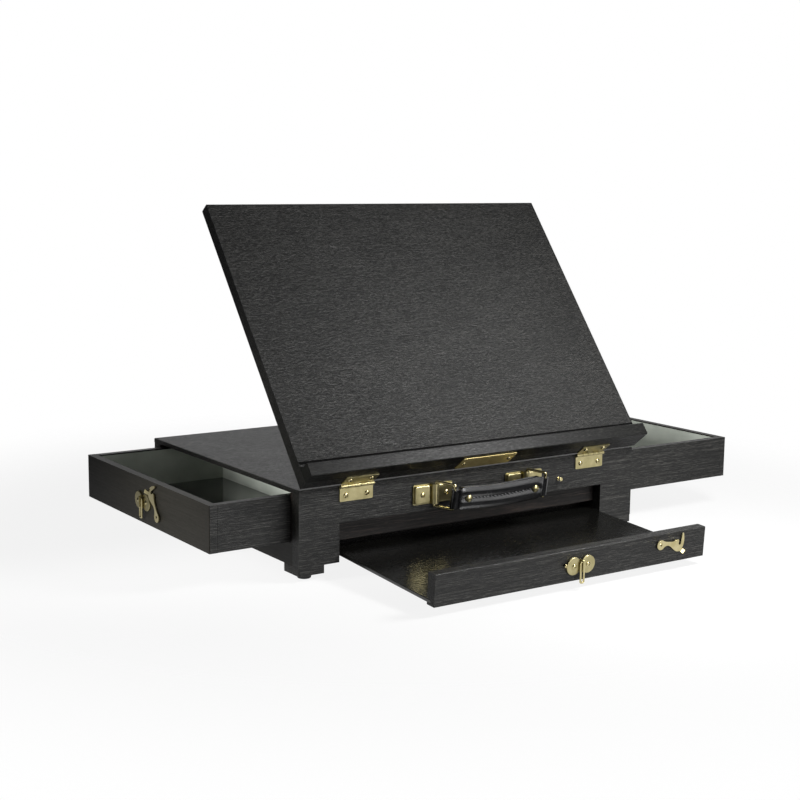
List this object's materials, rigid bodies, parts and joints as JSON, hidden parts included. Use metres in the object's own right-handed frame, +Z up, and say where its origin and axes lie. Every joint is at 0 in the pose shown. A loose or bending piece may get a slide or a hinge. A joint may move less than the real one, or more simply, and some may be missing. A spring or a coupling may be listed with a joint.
{
  "type": "pochade box",
  "caption": "Flat wooden artist's box with a tilting drawing board on a slotted stay, end drawers, a pull-out front shelf, brass catches and a carrying handle.",
  "frame": {"origin": "centre of the tripod socket's mouth, under the middle of the case", "axes": "+Z up out of the case's top, -Y towards the artist, +X to the artist's right"},
  "size_m": [0.7429, 0.521, 0.3808],
  "materials": {
    "wood": "black-stained open-grain wood, satin",
    "brass": "polished pale brass",
    "steel": "plain steel",
    "plate": "black enamelled steel",
    "leather": "smooth black leather",
    "lining": "light grey-green lining",
    "floor": "black-lacquered plywood, glossy",
    "rubber": "black rubber"
  },
  "bodies": {
    "case": {"top_panel": "wood", "front_panel": "wood", "inner_front_board": "wood", "inner_back_board": "wood", "back_panel": "wood", "end_rails": "wood", "drawer_deck": "wood", "well_partitions": "wood", "bottom_panel": "wood", "shelf_runners": "wood", "foot_blocks": "wood", "rubber_feet": "rubber", "tripod_plate": "plate", "tripod_plate_screws": "steel", "catch_studs": "brass", "stay_pivot_pin": "steel", "stay_spacers": "steel", "hinge_case_leaves": "brass", "hinge_pins": "brass", "handle_brackets": "brass", "front_screws": "brass"},
    "board": {"board_panel": "wood", "ledge": "wood", "ledge_plate": "brass", "hinge_board_leaves": "brass", "board_screws": "brass", "stay_track": "brass"},
    "stay": {"stay_arm": "brass", "stay_bolt": "brass"},
    "stay_knob": {"stay_knob": "brass"},
    "shelf_rod": {"shelf_rod": "steel"},
    "shelf": {"shelf_panel": "wood", "shelf_rail": "wood", "shelf_batten": "wood", "shelf_pull_plate": "brass", "shelf_screws": "brass"},
    "shelf_hook": {"shelf_hook": "brass"},
    "shelf_pull_bail": {"shelf_pull_bail": "brass"},
    "left_handle_ring": {"left_handle_ring": "brass"},
    "right_handle_ring": {"right_handle_ring": "brass"},
    "handle_grip": {"handle_grip": "leather", "grip_rivets": "brass"},
    "left_drawer": {"left_drawer_face": "wood", "left_drawer_walls": "wood", "left_drawer_divider": "wood", "left_drawer_bottom": "floor", "left_drawer_lining": "lining", "left_drawer_pull_plate": "brass", "left_drawer_screws": "brass"},
    "left_drawer_hook": {"left_drawer_hook": "brass"},
    "left_drawer_pull_bail": {"left_drawer_pull_bail": "brass"},
    "right_drawer": {"right_drawer_face": "wood", "right_drawer_walls": "wood", "right_drawer_divider": "wood", "right_drawer_bottom": "floor", "right_drawer_lining": "lining", "right_drawer_pull_plate": "brass", "right_drawer_screws": "brass"},
    "right_drawer_hook": {"right_drawer_hook": "brass"},
    "right_drawer_pull_bail": {"right_drawer_pull_bail": "brass"}
  },
  "joints": [
    {"name": "board_tilt", "type": "hinge", "parent": "case", "child": "board", "pos_m": [0, -0.1749, 0.084], "axis": [1, 0, 0], "range_deg": [-52.1, 22.9]},
    {"name": "stay_swing", "type": "hinge", "parent": "case", "child": "stay", "pos_m": [0, -0.03551, 0.071], "axis": [1, 0, 0], "range_deg": [-104.2, 45.8]},
    {"name": "stay_knob_turn", "type": "hinge", "parent": "stay", "child": "stay_knob", "pos_m": [-0.0055, -0.0823, 0.20295], "axis": [1, 0, 0], "continuous": true},
    {"name": "shelf_slide", "type": "slide", "parent": "case", "child": "shelf_rod", "axis": [0, -1, 0], "range_m": [-0.1695, 0]},
    {"name": "shelf_droop", "type": "hinge", "parent": "shelf_rod", "child": "shelf", "pos_m": [0, -0.1315, 0.0189], "axis": [1, 0, 0], "range_deg": [-3.6, 0]},
    {"name": "shelf_hook_turn", "type": "hinge", "parent": "shelf", "child": "shelf_hook", "pos_m": [0.113, -0.3424, 0.01885], "axis": [0, -0.9981, -0.0614], "range_deg": [-15, 105]},
    {"name": "shelf_pull_swing", "type": "hinge", "parent": "shelf", "child": "shelf_pull_bail", "pos_m": [0.0017, -0.34609, 0.01702], "axis": [-1, 0, 0], "range_deg": [-3.5, 160]},
    {"name": "left_drawer_slide", "type": "slide", "parent": "case", "child": "left_drawer", "axis": [-1, 0, 0], "range_m": [-0.0925, 0.0835]},
    {"name": "right_drawer_slide", "type": "slide", "parent": "case", "child": "right_drawer", "axis": [1, 0, 0], "range_m": [-0.178, 0.002]},
    {"name": "left_drawer_hook_turn", "type": "hinge", "parent": "left_drawer", "child": "left_drawer_hook", "pos_m": [-0.3225, -0.036, 0.041], "axis": [1, 0, 0], "range_deg": [0, 206]},
    {"name": "left_drawer_pull_swing", "type": "hinge", "parent": "left_drawer", "child": "left_drawer_pull_bail", "pos_m": [-0.3263, 0, 0.05625], "axis": [0, 1, 0], "range_deg": [0, 160]},
    {"name": "right_drawer_hook_turn", "type": "hinge", "parent": "right_drawer", "child": "right_drawer_hook", "pos_m": [0.408, -0.036, 0.041], "axis": [1, 0, 0], "range_deg": [0, 206]},
    {"name": "right_drawer_pull_swing", "type": "hinge", "parent": "right_drawer", "child": "right_drawer_pull_bail", "pos_m": [0.4118, 0, 0.05625], "axis": [0, -1, 0], "range_deg": [0, 160]},
    {"name": "left_ring_swing", "type": "hinge", "parent": "case", "child": "left_handle_ring", "pos_m": [-0.063, -0.1777, 0.0635], "axis": [0, -0.1564, 0.9877], "range_deg": [-93, 19]},
    {"name": "right_ring_swing", "type": "hinge", "parent": "case", "child": "right_handle_ring", "pos_m": [0.063, -0.1777, 0.0635], "axis": [0, -0.1564, 0.9877], "range_deg": [-93, 19]},
    {"name": "grip_swing", "type": "hinge", "parent": "left_handle_ring", "child": "handle_grip", "pos_m": [-0.04994, -0.19482, 0.06079], "axis": [0, -0.1564, 0.9877], "range_deg": [-19, 93]}
  ],
  "couplings": [
    {"joint": "stay_swing", "follows": "board_tilt", "ratio": 2},
    {"joint": "shelf_droop", "follows": "shelf_slide", "rad_per_m": 0.36245},
    {"joint": "right_ring_swing", "follows": "left_ring_swing", "ratio": 1},
    {"joint": "grip_swing", "follows": "left_ring_swing", "ratio": -1}
  ]
}
